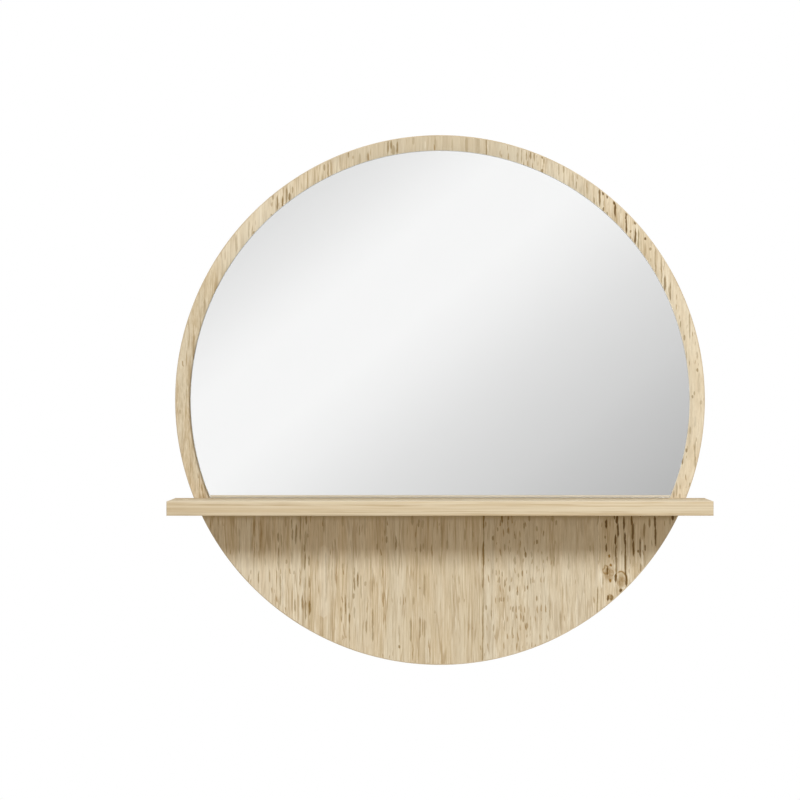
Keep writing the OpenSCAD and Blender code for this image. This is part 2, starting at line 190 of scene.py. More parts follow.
PALE_STREAKS = (
    (134.8, -142, -97, 1.1, 0.6), (137.3, -161, -143, 2.5, 0.95), (135.4, -156, -137, 1.5, 0.6),
    (147.8, -161, -143, 1.3, 0.8), (153.3, -146, -112, 1.6, 0.6), (155.4, -147, -129, 1.6, 0.5),
    (160.6, -154, -112, 1.5, 0.75), (-98.5, -186, -122, 9.0, 0.42), (-62.0, -210, -132, 8.0, 0.2),
    (-155.0, -130, -90, 5.0, 0.3), (-98.3, 188, 203, 6.0, 0.2), (155.8, -161, -158, 2.2, 0.8),
    (166.6, -140, -104, 1.6, 0.45), (171.8, -143, -117, 1.4, 0.9), (50.9, -159, -149, 1.0, 0.45),
    (53.8, -151, -144, 1.0, 0.45), (116.5, -179, -167, 2.2, 0.3), (13.3, -198, -182, 1.2, 0.5),
    (-133.6, -176, -150, 1.2, 0.6), (-116.0, -176, -166, 1.0, 0.4), (-78.8, -186, -166, 0.9, 0.6),
    (-68.6, -161, -146, 0.9, 0.6), (160.7, 139, 158, 1.4, 0.55), (163.9, 133, 151, 1.4, 0.75),
    (189.5, 95, 119, 1.1, 0.55), (193.2, 91, 108, 1.1, 0.45), (151.0, 152, 163, 1.3, 0.4),
    (114.2, 179, 193, 1.0, 0.6), (40.8, 209, 222, 0.9, 0.5), (-12.8, 212, 221, 1.1, 0.55),
    (-42.8, 208, 216, 1.1, 0.6), (-93.8, 190, 205, 1.0, 0.7), (-136.6, 166, 179, 1.2, 0.6),
)
# A knot's ring: its place across and along, its radius and width, the height it is open below
# and how dark it is. A ring with hardly any radius is a spot.
WHOLE = -BOARD_REACH  # such a ring is open nowhere
KNOTS = (
    (140.9, -144.4, 2.5, 1.4, WHOLE, 0.62), (145.4, -147.0, 1.9, 1.5, WHOLE, 0.52),
    (143.6, -147.5, 0.5, 8.5, WHOLE, 0.5), (153.8, -151.2, 4.0, 1.3, -152.5, 0.65),
    (153.8, -153.5, 0.5, 6.5, WHOLE, 0.5), (143.8, -132.6, 0.2, 1.9, WHOLE, 0.85),
    (144.9, -140.2, 0.2, 1.9, WHOLE, 0.85), (144.7, -153.2, 0.3, 2.1, WHOLE, 0.8),
    (145.0, -167.5, 1.3, 1.6, WHOLE, 0.45),
)
# The shelf's streaks, placed across it from its front face round to its top. The last, broad one is
# painted shade along the back of the top, beside the mirror.
SHELF_STREAKS_AND_SHADE = (
    (-186.2, -230, 20, 1.1, 0.75), (-187.2, -10, 230, 1.0, 0.6), (-189.2, -120, 120, 0.8, 0.3),
    (-192.0, -230, 230, 0.9, 0.5), (-193.9, -230, 230, 1.0, 0.45), (-176.0, -230, 230, 1.4, 0.4),
    (-164.0, -230, 90, 1.2, 0.4), (-150.0, -60, 230, 1.6, 0.45), (-131.0, -230, 230, 1.3, 0.35),
    (-112.0, -230, 60, 1.5, 0.4), (-102.0, -230, 230, 22.0, 0.55),
)
# Painted light: a painted highlight along the shelf's front top edge, and a lighter front part of its
# top
SHELF_PAINTED_LIGHT = (
    (-183.0, -230, 230, 1.8, 0.9), (-162.0, -230, 230, 40.0, 0.8),
)

SHELF_FIBRES = 0.38
SHELF_STREAK_AND_SHADE_STRENGTH = 0.62
SHELF_PAINTED_LIGHT_STRENGTH = 0.6
SHELF_FRONT_SHADE = 0.1

# Where the board's grain or tone changes, across it or up it: the two ends of a fade, in
# millimetres from the board's middle, and how strong it is at each, if not 0 and 1
FAR_RIGHT = (160, 200)
FAR_OUT = (165, 200)
STRONG_GRAIN = (-125, -100, 1.32, 1.1)
DENSE_PORES = (SEAM + 50, SEAM + 64, 1, 0)
LEFT_OF_SEAM = (-55, -15, 0, 0.12)
LEFT_RIM = (-208, -198, 0.1, 0)
UPPER_LEFT, UPPER_LEFT_RISE = (-162, -150, 0.14, 0), (55, 70)
OUTER_LEFT, OUTER_LEFT_RISE = (-150, -112, 0.35, 0), (112, 135)
OUTER_LEFT_MIDDLE = -10
CROWN_SIDE, CROWN_RISE = (60, 84, 1, 0), (196, 208)
# Painted shade below the shelf: a broad darkening where the shelf's shadow falls, and a darker line
# just under the shelf
PAINTED_SHELF_SHADOW = (-150, -125)
PAINTED_CONTACT_SHADE = (-104, -97.5, 0, 0.8)
BELOW_SHELF = -94

# Plain colours, as linear values
FIBREBOARD_DARK, FIBREBOARD_LIGHT = (0.30, 0.18, 0.085), (0.46, 0.30, 0.16)
FIBREBOARD_DUST = (0.5, 0.36, 0.22)
ZINC_DARK, ZINC_LIGHT = (0.50, 0.51, 0.53), (0.66, 0.66, 0.65)
FOAM_DARK, FOAM_LIGHT = (0.70, 0.70, 0.66), (0.86, 0.86, 0.82)
SILVER_DARK, SILVER_LIGHT = (0.95, 0.95, 0.95), (0.96, 0.96, 0.96)
GROUND_GLASS_DARK, GROUND_GLASS_LIGHT = (0.80, 0.88, 0.85), (0.88, 0.94, 0.91)
CLEAR_GLASS = (0.990, 0.994, 0.992)
FLOOR_GREY = (0.75, 0.75, 0.75)
GLASS_IOR = 1.52

# The mirror's tone down its diagonal, from upper left to lower right: how far from the middle
# the reflection is seen, in millimetres, and how bright it is
TONE_STEPS = (
    (-218, 0.72), (-176, 0.81), (-149, 0.875), (-127, 0.913), (-66, 0.913),
    (-30, 0.855), (23, 0.74), (63, 0.672), (90, 0.631), (116, 0.578), (183, 0.468),
)
TONE_SLOPE = 1.25
SCREEN_GLOW = 1.065
SCREEN_REACH = 1.5  # half its side, in metres
FLOOR_REACH = 4.0
SENSOR_WIDTH = 36


class Nodes:
    """Adds nodes to a tree. A socket is given a number, a colour or another node's output."""

    def __init__(self, tree):
        self.tree = tree

    def feed(self, node, inputs):
        """Links outputs to a node's sockets, or sets plain values on them."""
        for key, value in inputs.items():
            if isinstance(value, bpy.types.NodeSocket):
                self.tree.links.new(value, node.inputs[key])
            else:
                node.inputs[key].default_value = value

    def add(self, kind, inputs=None, **settings):
        node = self.tree.nodes.new(kind)
        for name, value in settings.items():
            setattr(node, name, value)
        self.feed(node, inputs or {})
        return node

    def math(self, operation, first, second=0.0):
        return self.add("ShaderNodeMath", {0: first, 1: second}, operation=operation).outputs[0]

    def scaled(self, value, factor, plus=0.0):
        """value times factor, and plus."""
        inputs = {0: value, 1: factor, 2: plus}
        return self.add("ShaderNodeMath", inputs, operation="MULTIPLY_ADD").outputs[0]

    def product(self, first, second):
        return self.math("MULTIPLY", first, second)

    def most(self, values):
        """The highest of some values at each place. Each is made just before it is compared."""
        highest = None
        for value in values:
            highest = value if highest is None else self.math("MAXIMUM", highest, value)
        return highest

    def fade(self, value, start, end, low=0.0, high=1.0):
        """Goes smoothly from low to high as value goes from start to end.

        A smooth step needs no clamp, and without one a shader can hold many more marks.
        """
        ends = {"Value": value, "From Min": start, "From Max": end, "To Min": low, "To Max": high}
        smooth = {"interpolation_type": "SMOOTHSTEP", "clamp": False}
        return self.add("ShaderNodeMapRange", ends, **smooth).outputs[0]

    def point(self, x, y, z=0.0):
        return self.add("ShaderNodeCombineXYZ", {0: x, 1: y, 2: z}).outputs[0]

    def length(self, x, y):
        inputs = {0: self.point(x, y)}
        return self.add("ShaderNodeVectorMath", inputs, operation="LENGTH").outputs["Value"]

    def millimetres(self, scale=(1, 1, 1)):
        """The place on the object in millimetres, with each axis times its scale."""
        place = self.add("ShaderNodeTexCoord").outputs["Object"]
        inputs = {"Vector": place, "Scale": [factor / MM for factor in scale]}
        return self.add("ShaderNodeMapping", inputs).outputs[0]

    def parts(self, point):
        """A point's x, y and z."""
        return self.add("ShaderNodeSeparateXYZ", {0: point}).outputs

    def noise(self, point, detail=2.0, roughness=0.5):
        inputs = {"Vector": point, "Scale": 1.0, "Detail": detail, "Roughness": roughness}
        return self.add("ShaderNodeTexNoise", inputs).outputs["Fac"]

    def patches(self, across, along, width, length, seed=0.0, detail=2.0, roughness=0.5):
        """Noise in patches of about a width across the grain and a length along it."""
        place = self.point(
            self.math("DIVIDE", across, width), self.math("DIVIDE", along, length), seed
        )
        return self.noise(place, detail, roughness)

    def stained(self, colour, *stains):
        """A colour with others over it in turn. Each is given as how much it covers, and itself."""
        for share, stain in stains:
            inputs = {0: share, MIX_A: opaque(colour), MIX_B: opaque(stain)}
            colour = self.add("ShaderNodeMix", inputs, data_type="RGBA").outputs[MIX_RESULT]
        return colour

    def group(self, tree, across, along, **inputs):
        """A group's outputs at a place. An input's name is its socket's, with _ for each space."""
        given = {name.replace("_", " "): value for name, value in inputs.items()}
        given |= {"Across": across, "Along": along}
        return self.add("ShaderNodeGroup", given, node_tree=tree).outputs

    def bump(self, height, strength, depth):
        inputs = {"Height": height, "Strength": strength, "Distance": depth}
        return self.add("ShaderNodeBump", inputs).outputs["Normal"]


def opaque(colour):
    """A colour of three values with its alpha, or a node's output as it is."""
    return colour if isinstance(colour, bpy.types.NodeSocket) else (*colour, 1.0)


def number_group(name, inputs, outputs, fill):
    """A shader node group of numbers. inputs are names with defaults, and fill adds its nodes."""
    tree = bpy.data.node_groups.new(name, "ShaderNodeTree")
    for label, value in inputs.items():
        socket = tree.interface.new_socket(label, in_out="INPUT", socket_type="NodeSocketFloat")
        socket.default_value = value
    for label in outputs:
        tree.interface.new_socket(label, in_out="OUTPUT", socket_type="NodeSocketFloat")
    nodes = Nodes(tree)
    given = nodes.add("NodeGroupInput").outputs
    results = fill(nodes, given)
    nodes.add("NodeGroupOutput", dict(zip(outputs, results, strict=True)))
    return tree


def fill_grain(nodes, given):
    """Light and dark fibres, fine brown lines and broad bands, along a grain that sways."""
    along, seed = given["Along"], given["Seed"]
    width, length = given["Fibre Width"], given["Fibre Length"]
    sway = nodes.scaled(nodes.patches(given["Across"], along, 45, 110, seed), 2, -1)
    across = nodes.math("ADD", given["Across"], nodes.product(sway, given["Sway"]))
    fine = nodes.patches(across, along, width, length, seed, detail=3, roughness=0.7)
    coarse = nodes.patches(
        across, along, nodes.scaled(width, 3.5), nodes.scaled(length, 2.5), seed
    )
    fibres = nodes.scaled(fine, 0.7, nodes.scaled(coarse, 0.3))
    light = nodes.fade(fibres, 0.5, 0.62)
    dark = nodes.fade(fibres, 0.5, 0.38)
    bands = nodes.patches(across, along, given["Band Width"], given["Band Length"], seed)
    contour = nodes.patches(across, along, given["Line Spacing"], given["Line Length"], seed)
    contour = nodes.math("ABSOLUTE", nodes.scaled(contour, 1, -0.5))
    broken = nodes.patches(across, along, 2.5, 30, nodes.scaled(seed, 1, 7))
    lines = nodes.product(nodes.fade(contour, 0.015, 0.055, 1, 0), nodes.fade(broken, 0.4, 0.58))
    return light, dark, lines, nodes.fade(bands, 0.35, 0.65), across


def fill_pores(nodes, given):
    """Short dashes along the grain, at most one in each cell of a jumbled grid."""
    across = nodes.math("DIVIDE", given["Across"], given["Cell Width"])
    along = nodes.math("DIVIDE", given["Along"], given["Cell Length"])
    shift = nodes.point(given["Seed"], given["Seed"])
    place = nodes.add("ShaderNodeVectorMath", {0: nodes.point(across, along), 1: shift}).outputs[0]
    cell = nodes.add(
        "ShaderNodeTexVoronoi", {"Vector": place, "Scale": 1.0}, voronoi_dimensions="2D"
    ).outputs
    ends = {0: place, 1: cell["Position"]}
    off = nodes.add("ShaderNodeVectorMath", ends, operation="SUBTRACT").outputs[0]
    off_side, off_up, _ = nodes.parts(off)
    luck = nodes.add("ShaderNodeSeparateColor", {0: cell["Color"]}).outputs
    up = nodes.product(off_up, given["Cell Length"])
    side = nodes.product(off_side, given["Cell Width"])
    lean = nodes.product(nodes.scaled(luck[0], 2, -1), given["Slant"])
    side = nodes.math("ADD", side, nodes.product(up, lean))
    length = nodes.product(given["Dash Length"], nodes.scaled(luck[0], 0.4, 0.2))
    width = nodes.product(given["Dash Width"], nodes.scaled(luck[2], 0.35, 0.3))
    reach = nodes.length(nodes.math("DIVIDE", side, width), nodes.math("DIVIDE", up, length))
    dash = nodes.product(nodes.fade(reach, 0.5, 1.35, 1, 0), nodes.scaled(luck[0], 0.5, 0.5))
    kept = nodes.fade(nodes.math("SUBTRACT", given["Density"], luck[1]), 0.0, 0.15)
    return (nodes.product(dash, kept),)


def fill_wobble(nodes, given):
    """Where marks are looked up: moved a little. Also how wide they are and where they break off.

    Both places come out together, so that a shader can work marks out one by one.
    """
    across, along = given["Across"], given["Along"]
    slow = nodes.scaled(nodes.patches(across, along, 9, 13, 1.3), 2, -1)
    quick = nodes.scaled(nodes.patches(across, along, 3, 3.6, 4.1), 2, -1)
    moved = nodes.math(
        "ADD", nodes.product(slow, given["Slow"]), nodes.product(quick, given["Quick"])
    )
    uneven = nodes.fade(nodes.patches(across, along, 4, 8, 8.7), 0.3, 0.65, 0.65, 1.1)
    broken = nodes.fade(nodes.patches(across, along, 4, 10, 2.9), 0.3, 0.45, 0.4, 1)
    moved_along = nodes.math("ADD", along, nodes.product(quick, given["Slow"]))
    return nodes.math("ADD", across, moved), moved_along, uneven, broken


def fill_mark(nodes, given):
    """A line along the grain that tapers to both its ends."""
    off = nodes.math("ABSOLUTE", nodes.math("SUBTRACT", given["Across"], given["Place"]))
    past_low = nodes.math("SUBTRACT", given["Along"], given["Low"])
    past_high = nodes.math("SUBTRACT", given["High"], given["Along"])
    end = nodes.fade(nodes.math("MINIMUM", past_low, past_high), 0.0, given["Taper"])
    width = nodes.product(given["Width"], given["Uneven"])
    half = nodes.product(width, nodes.scaled(end, 0.5, 0.001))
    line = nodes.fade(nodes.math("DIVIDE", off, half), 0.25, 1.5, 1, 0)
    return (nodes.product(line, given["Strength"]),)


def fill_knot(nodes, given):
    """A ring across the grain, whole or open below a height."""
    across = nodes.math("SUBTRACT", given["Across"], given["Place"])
    along = nodes.scaled(nodes.math("SUBTRACT", given["Along"], given["Height"]), 0.75)
    off = nodes.math("SUBTRACT", nodes.length(across, along), given["Radius"])
    ring = nodes.math("DIVIDE", nodes.math("ABSOLUTE", off), given["Width"])
    shown = nodes.fade(nodes.math("SUBTRACT", given["Along"], given["Open Below"]), -2.5, 1.5)
    line = nodes.product(nodes.fade(ring, 0.15, 0.75, 1, 0), shown)
    return (nodes.product(line, given["Strength"]),)


PLACE = {"Across": 0.0, "Along": 0.0}
GRAIN = number_group(
    "Grain",
    PLACE | {
        "Seed": 0.0, "Sway": 2.0, "Fibre Width": 0.9, "Fibre Length": 26.0, "Band Width": 12.0,
        "Band Length": 200.0, "Line Spacing": 5.0, "Line Length": 90.0,
    },
    ("Light", "Dark", "Lines", "Bands", "Across"),
    fill_grain,
)
PORES = number_group(
    "Pores",
    PLACE | {
        "Seed": 0.0, "Cell Width": 3.5, "Cell Length": 8.0, "Dash Width": 1.0,
        "Dash Length": 6.5, "Slant": 0.12, "Density": 0.5,
    },
    ("Dashes",),
    fill_pores,
)
WOBBLE = number_group(
    "Wobble", PLACE | {"Slow": 1.1, "Quick": 0.2}, ("Across", "Along", "Uneven", "Broken"),
    fill_wobble,
)
MARK = number_group(
    "Mark",
    PLACE | {
        "Place": 0.0, "Low": -10.0, "High": 10.0, "Width": 1.0, "Uneven": 1.0, "Taper": TAPER,
        "Strength": 1.0,
    },
    ("Line",),
    fill_mark,
)
KNOT = number_group(
    "Knot",
    PLACE | {
        "Place": 0.0, "Height": 0.0, "Radius": 4.0, "Width": 1.0, "Open Below": WHOLE,
        "Strength": 1.0,
    },
    ("Ring",),
    fill_knot,
)


def new_material(name):
    """A material, its Nodes and its Principled shader."""
    material = bpy.data.materials.new(name)
    material.use_nodes = True
    return material, Nodes(material.node_tree), material.node_tree.nodes["Principled BSDF"]


def marks_along(nodes, wobble, marks, wide=1.0):
    """The darkest of several marks at each place that a Wobble group gives."""
    return nodes.most(
        nodes.group(
            MARK, wobble["Across"], wobble["Along"], Uneven=wobble["Uneven"],
            Place=place, Low=low, High=high, Width=wide * width, Strength=strength,
            Taper=min(TAPER, (high - low) / 3),
        )["Line"]
        for place, low, high, width, strength in marks
    )


def oak_ground(nodes, oak, across, along, seed, fibres=1.0, **sizes):
    """The oak's ground colour, its relief, and its place across with the grain's sway."""
    grain = nodes.group(GRAIN, across, along, Seed=seed, **sizes)
    light, dark = nodes.product(grain["Light"], fibres), nodes.product(grain["Dark"], fibres)
    lines = nodes.product(grain["Lines"], fibres)
    colour = nodes.stained(
        oak.pale,
        (grain["Bands"], oak.warm),
        (nodes.scaled(light, oak.fibre_strength), oak.light),
        (nodes.scaled(dark, oak.fibre_strength), oak.fibre),
        (nodes.scaled(lines, oak.line_strength), oak.pore),
    )
    relief = nodes.scaled(dark, -0.4, nodes.scaled(lines, -0.6))
    return colour, relief, grain["Across"]


def finish_oak(nodes, shader, colour, relief, roughness=0.68):
    """A matt lacquer over the oak, a little duller where its grain is open."""
    nodes.feed(shader, {
        "Base Color": colour, "Roughness": nodes.scaled(relief, -0.1, roughness),
        "Specular IOR Level": 0.12, "Normal": nodes.bump(relief, 0.35, 0.12 * MM),
    })


class Planks:
    """Places on the board's front, and masks of its three planks and of its sides."""

    def __init__(self, nodes):
        self.x, _, self.along = nodes.parts(nodes.millimetres())
        self.upright = nodes.scaled(self.along, -SEAM_LEAN, self.x)
        self.past_seam = nodes.math("GREATER_THAN", self.upright, SEAM)
        self.weathered = nodes.math("GREATER_THAN", self.upright, SECOND_SEAM)
        self.middle = nodes.math("SUBTRACT", self.past_seam, self.weathered)
        self.left = nodes.scaled(self.past_seam, -1, 1)
        self.far_right = nodes.fade(self.x, *FAR_RIGHT)
        self.far_out = nodes.fade(nodes.math("ABSOLUTE", self.x), *FAR_OUT)


def planks_ground(nodes, oak, board):
    """Each plank's own grain, with shorter fibres on the middle one and near the board's sides."""
    seed = nodes.scaled(board.past_seam, 11.3, nodes.scaled(board.weathered, 11.3, 3.7))
    fibres = nodes.fade(board.x, *STRONG_GRAIN)
    for mask, change in ((board.far_out, -0.25), (board.weathered, -0.1), (board.middle, 0.06)):
        fibres = nodes.scaled(mask, change, fibres)
    return oak_ground(
        nodes, oak, board.x, board.along, seed, fibres,
        Band_Width=nodes.scaled(board.weathered, -6, 12),
        Band_Length=nodes.scaled(board.far_out, -170, 200),
        Fibre_Width=nodes.scaled(board.weathered, 0.35, 0.85),
        Fibre_Length=nodes.scaled(board.middle, -10, nodes.scaled(board.far_out, -19, 26)),
    )


def planks_pores(nodes, board, across):
    """Short pores, thickest on the middle plank beside its seam, and long ones on the left."""
    near_seam = nodes.product(board.middle, nodes.fade(board.x, *DENSE_PORES))
    clusters = nodes.fade(nodes.patches(board.x, board.along, 11, 60, 6.1), 0.48, 0.66)
    jumbled = nodes.group(WOBBLE, across, board.along, Slow=1.4, Quick=0.15)
    density = nodes.scaled(clusters, 0.22, 0.08)
    for mask, change in ((near_seam, 0.3), (board.far_right, 0.12), (board.weathered, 0.15)):
        density = nodes.scaled(mask, change, density)
    short = nodes.group(
        PORES, jumbled["Across"], jumbled["Along"], Seed=0.3, Density=density,
        Dash_Width=nodes.scaled(board.weathered, -0.2, 1.0),
        Dash_Length=nodes.scaled(board.weathered, -1.5, 6.5),
    )["Dashes"]
    long = nodes.group(
        PORES, jumbled["Across"], jumbled["Along"], Seed=5.3, Cell_Width=2.8, Cell_Length=21.0,
        Dash_Width=0.85, Dash_Length=16.0, Slant=0.04,
        Density=nodes.product(board.left, nodes.scaled(clusters, 0.4, 0.1)),
    )["Dashes"]
    return nodes.math("MAXIMUM", short, long)


def planks_knots(nodes, board):
    """The weathered plank's knots, unevenly stained."""
    x, along = board.x, board.along
    drift = nodes.scaled(nodes.patches(x, along, 3.0, 3.0, 3.3), 3, -1.5)
    knot_x, knot_along = nodes.math("ADD", x, drift), nodes.math("SUBTRACT", along, drift)
    knots = nodes.most(
        nodes.group(
            KNOT, knot_x, knot_along, Place=side, Height=height, Radius=radius,
            Width=width, Open_Below=open_below, Strength=strength,
        )["Ring"]
        for side, height, radius, width, open_below, strength in KNOTS
    )
    stain = nodes.fade(nodes.patches(x, along, 2.2, 2.6, 7.7), 0.3, 0.55, 0.7, 1.3)
    return nodes.product(knots, stain)


def planks_tones(nodes, oak, board):
    """How the board's tone changes from place to place, as stains over its ground colour, with painted
    shade below the shelf.
    """
    x, along = board.x, board.along
    cool = nodes.fade(nodes.patches(x, along, 9, 130, 2.2), 0.38, 0.62, 0, 0.2)
    cool = nodes.product(cool, nodes.scaled(board.weathered, -1, 1))
    cool = nodes.scaled(board.middle, 0.17, cool)
    deeper = nodes.product(board.left, nodes.fade(x, *LEFT_OF_SEAM))
    deeper = nodes.math("ADD", deeper, nodes.fade(x, *LEFT_RIM))
    upper_left = nodes.product(nodes.fade(x, *UPPER_LEFT), nodes.fade(along, *UPPER_LEFT_RISE))
    off_middle = nodes.math("ABSOLUTE", nodes.scaled(along, 1, -OUTER_LEFT_MIDDLE))
    outer_left = nodes.product(nodes.fade(x, *OUTER_LEFT), nodes.fade(off_middle, *OUTER_LEFT_RISE))
    crown = nodes.product(nodes.fade(along, *CROWN_RISE), nodes.fade(x, *CROWN_SIDE))
    # Painted shade: darker where the shelf's shadow falls on the board, more right of the seam, and
    # darkest in a line just under the shelf
    painted_shade = nodes.scaled(
        nodes.fade(along, *PAINTED_SHELF_SHADOW), nodes.scaled(board.past_seam, 0.12, 0.06),
        nodes.fade(along, *PAINTED_CONTACT_SHADE),
    )
    painted_shade = nodes.product(painted_shade, nodes.math("LESS_THAN", along, BELOW_SHELF))
    return (
        (cool, oak.cool),
        (nodes.scaled(board.far_right, 0.33), oak.light),
        (nodes.math("ADD", deeper, upper_left), oak.fibre),
        (outer_left, oak.light),
        (nodes.scaled(crown, 0.4), oak.cool),
        (nodes.scaled(crown, 0.26), oak.fibre),
        (painted_shade, oak.fibre),
    )


def oak_board_front(oak):
    """Pale oak in three upright planks, the right one weathered, with pores, streaks and knots."""
    material, nodes, shader = new_material("oak board front")
    board = Planks(nodes)
    colour, relief, across = planks_ground(nodes, oak, board)
    pores = planks_pores(nodes, board, across)
    wobble = nodes.group(WOBBLE, board.x, board.along, Slow=0.7, Quick=0.3)
    cracks = marks_along(nodes, wobble, CRACKS, CRACK_WIDENING)
    cracks = nodes.product(cracks, nodes.scaled(wobble["Broken"], 0.4, 0.6))
    streaks = marks_along(nodes, wobble, STREAKS, STREAK_WIDENING)
    streaks = nodes.product(streaks, nodes.scaled(wobble["Broken"], 0.5, 0.5))
    pale = marks_along(nodes, wobble, PALE_STREAKS)
    leaning = nodes.group(WOBBLE, board.upright, board.along, Slow=0.6, Quick=0.3)
    seams = marks_along(nodes, leaning, SEAMS)
    knots = planks_knots(nodes, board)
    colour = nodes.stained(
        colour,
        *planks_tones(nodes, oak, board),
        (nodes.scaled(pale, oak.pale_strength), oak.bright),
        (nodes.scaled(pores, oak.pore_strength), oak.pore),
        (knots, oak.pore),
        (nodes.scaled(seams, oak.seam_strength), oak.streak),
        (nodes.scaled(streaks, oak.streak_strength), oak.streak),
        (nodes.fade(cracks, 0.0, 0.6, 0, oak.crack_strength), oak.streak),
        (nodes.fade(cracks, 0.35, 0.85, 0, oak.crack_strength), oak.crack),
    )
    open_grain = nodes.most([pores, cracks])
    finish_oak(nodes, shader, colour, nodes.scaled(open_grain, -1, relief))
    return material


def oak_plain(name, oak, coordinates, seed, tint=None):
    """Oak without the board's own marks. coordinates gives places across and along its grain."""
    material, nodes, shader = new_material(name)
    across, along = coordinates(nodes)
    colour, relief, across = oak_ground(nodes, oak, across, along, seed)
    clusters = nodes.fade(nodes.patches(across, along, 14, 70, seed), 0.42, 0.68, 0.05, 0.4)
    pores = nodes.group(
        PORES, across, along, Density=clusters, Seed=seed, Dash_Width=0.8
    )["Dashes"]
    colour = nodes.stained(colour, (nodes.scaled(pores, 0.5 * oak.pore_strength), oak.pore))
    if tint:
        colour = nodes.stained(colour, (oak.rim_strength, tint))
    finish_oak(nodes, shader, colour, nodes.scaled(pores, -1, relief))
    return material


def oak_shelf(oak):
    """Straight-grained oak along the shelf, with a few long streaks, painted shade along the back of
    its top, and painted light along its front top edge and the front of its top.
    """
    material, nodes, shader = new_material("oak shelf")
    across, along = shelf_grain(nodes)
    colour, relief, swayed = oak_ground(
        nodes, oak, across, along, 1.9, SHELF_FIBRES, Sway=1.0, Fibre_Width=1.3,
        Fibre_Length=90.0, Band_Width=3.6, Band_Length=420.0, Line_Spacing=7.0, Line_Length=700.0,
    )
    worn = nodes.fade(nodes.patches(across, along, 2.0, 46.0, 5.5), 0.35, 0.6, 0.15, 1)
    wobble = nodes.group(WOBBLE, swayed, nodes.scaled(along, 0.15), Slow=0.3, Quick=0.0)
    # streaks also holds the painted shade along the back of the shelf's top
    streaks = nodes.product(marks_along(nodes, wobble, SHELF_STREAKS_AND_SHADE), worn)
    # pale is painted light: the highlight on the front top edge and the lighter front of the top
    pale = marks_along(nodes, wobble, SHELF_PAINTED_LIGHT)
    _, depth, _ = nodes.parts(nodes.millimetres())
    front = nodes.math("LESS_THAN", depth, SHELF_HIGH.y / MM)
    colour = nodes.stained(
        colour,
        (nodes.scaled(streaks, SHELF_STREAK_AND_SHADE_STRENGTH), oak.pore),
        (nodes.scaled(pale, SHELF_PAINTED_LIGHT_STRENGTH), oak.bright),
        (nodes.scaled(front, SHELF_FRONT_SHADE), oak.fibre),
    )
    finish_oak(nodes, shader, colour, nodes.scaled(streaks, -0.6, relief), 0.95)
    return material


def upright_grain(nodes):
    x, _, z = nodes.parts(nodes.millimetres())
    return x, z


def shelf_grain(nodes):
    """Across the shelf's faces one after another, round the front edge, and along the shelf."""
    x, y, z = nodes.parts(nodes.millimetres())
    return nodes.math("ADD", y, z), x


def shelf_end_grain(nodes):
    x, y, z = nodes.parts(nodes.millimetres())
    return nodes.math("ADD", x, z), y


def rim_grain(nodes):
    """Across the rim from the wall, and round it both ways from its highest point."""
    x, y, z = nodes.parts(nodes.millimetres())
    return y, nodes.scaled(nodes.math("ARCTAN2", x, z), BOARD_RADIUS / MM)


def fibreboard():
    """The board's brown core, pressed from fine fibres."""
    material, nodes, shader = new_material("fibreboard")
    fine = nodes.noise(nodes.millimetres((1, 3, 1)), 4, 0.7)
    broad = nodes.noise(nodes.millimetres((0.1, 1, 0.1)))
    colour = nodes.stained(
        FIBREBOARD_DARK, (nodes.fade(fine, 0.3, 0.7), FIBREBOARD_LIGHT),
        (nodes.scaled(broad, 0.3), FIBREBOARD_DUST),
    )
    normal = nodes.bump(fine, 0.6, 0.1 * MM)
    nodes.feed(shader, {"Base Color": colour, "Roughness": 0.85, "Normal": normal})
    return material


def zinc():
    """Zinc plate on steel, a little mottled and rubbed along its length."""
    material, nodes, shader = new_material("zinc plated steel")
    mottle = nodes.noise(nodes.millimetres((0.35, 0.35, 0.35)), 3)
    rubbed = nodes.noise(nodes.millimetres((6, 1, 0.2)))
    nodes.feed(shader, {
        "Base Color": nodes.stained(ZINC_DARK, (nodes.fade(mottle, 0.3, 0.7), ZINC_LIGHT)),
        "Roughness": nodes.scaled(rubbed, 0.25, nodes.scaled(mottle, 0.12, 0.18)),
        "Metallic": 1.0, "Normal": nodes.bump(rubbed, 0.15, 0.02 * MM),
    })
    return material


def foam():
    """White foam tape with fine closed cells."""
    material, nodes, shader = new_material("foam tape")
    cells = nodes.add(
        "ShaderNodeTexVoronoi", {"Vector": nodes.millimetres(), "Scale": 3.0}
    ).outputs["Distance"]
    colour = nodes.stained(FOAM_DARK, (nodes.fade(cells, 0.1, 0.6), FOAM_LIGHT))
    normal = nodes.bump(cells, 0.4, 0.1 * MM)
    nodes.feed(shader, {"Base Color": colour, "Roughness": 0.9, "Normal": normal})
    return material


def silver():
    """The silver coat behind the glass."""
    material, nodes, shader = new_material("silver coat")
    haze = nodes.noise(nodes.millimetres((0.02, 1, 0.02)))
    colour = nodes.stained(SILVER_DARK, (haze, SILVER_LIGHT))
    nodes.feed(shader, {"Base Color": colour, "Metallic": 1.0, "Roughness": 0.0})
    return material


def clear_glass():
    material, nodes, shader = new_material("clear glass")
    nodes.feed(shader, {
        "Base Color": opaque(CLEAR_GLASS), "Roughness": 0.0, "IOR": GLASS_IOR,
        "Transmission Weight": 1.0,
    })
    return material


def ground_glass():
    """The glass's ground edge, greener and duller than its faces."""
    material, nodes, shader = new_material("ground glass edge")
    marks = nodes.noise(nodes.millimetres((1, 8, 1)), 3, 0.7)
    colour = nodes.stained(GROUND_GLASS_DARK, (nodes.fade(marks, 0.3, 0.7), GROUND_GLASS_LIGHT))
    nodes.feed(shader, {
        "Base Color": colour, "Roughness": nodes.scaled(marks, 0.2, 0.25), "IOR": GLASS_IOR,
        "Transmission Weight": 1.0, "Normal": nodes.bump(marks, 0.3, 0.05 * MM),
    })
    return material


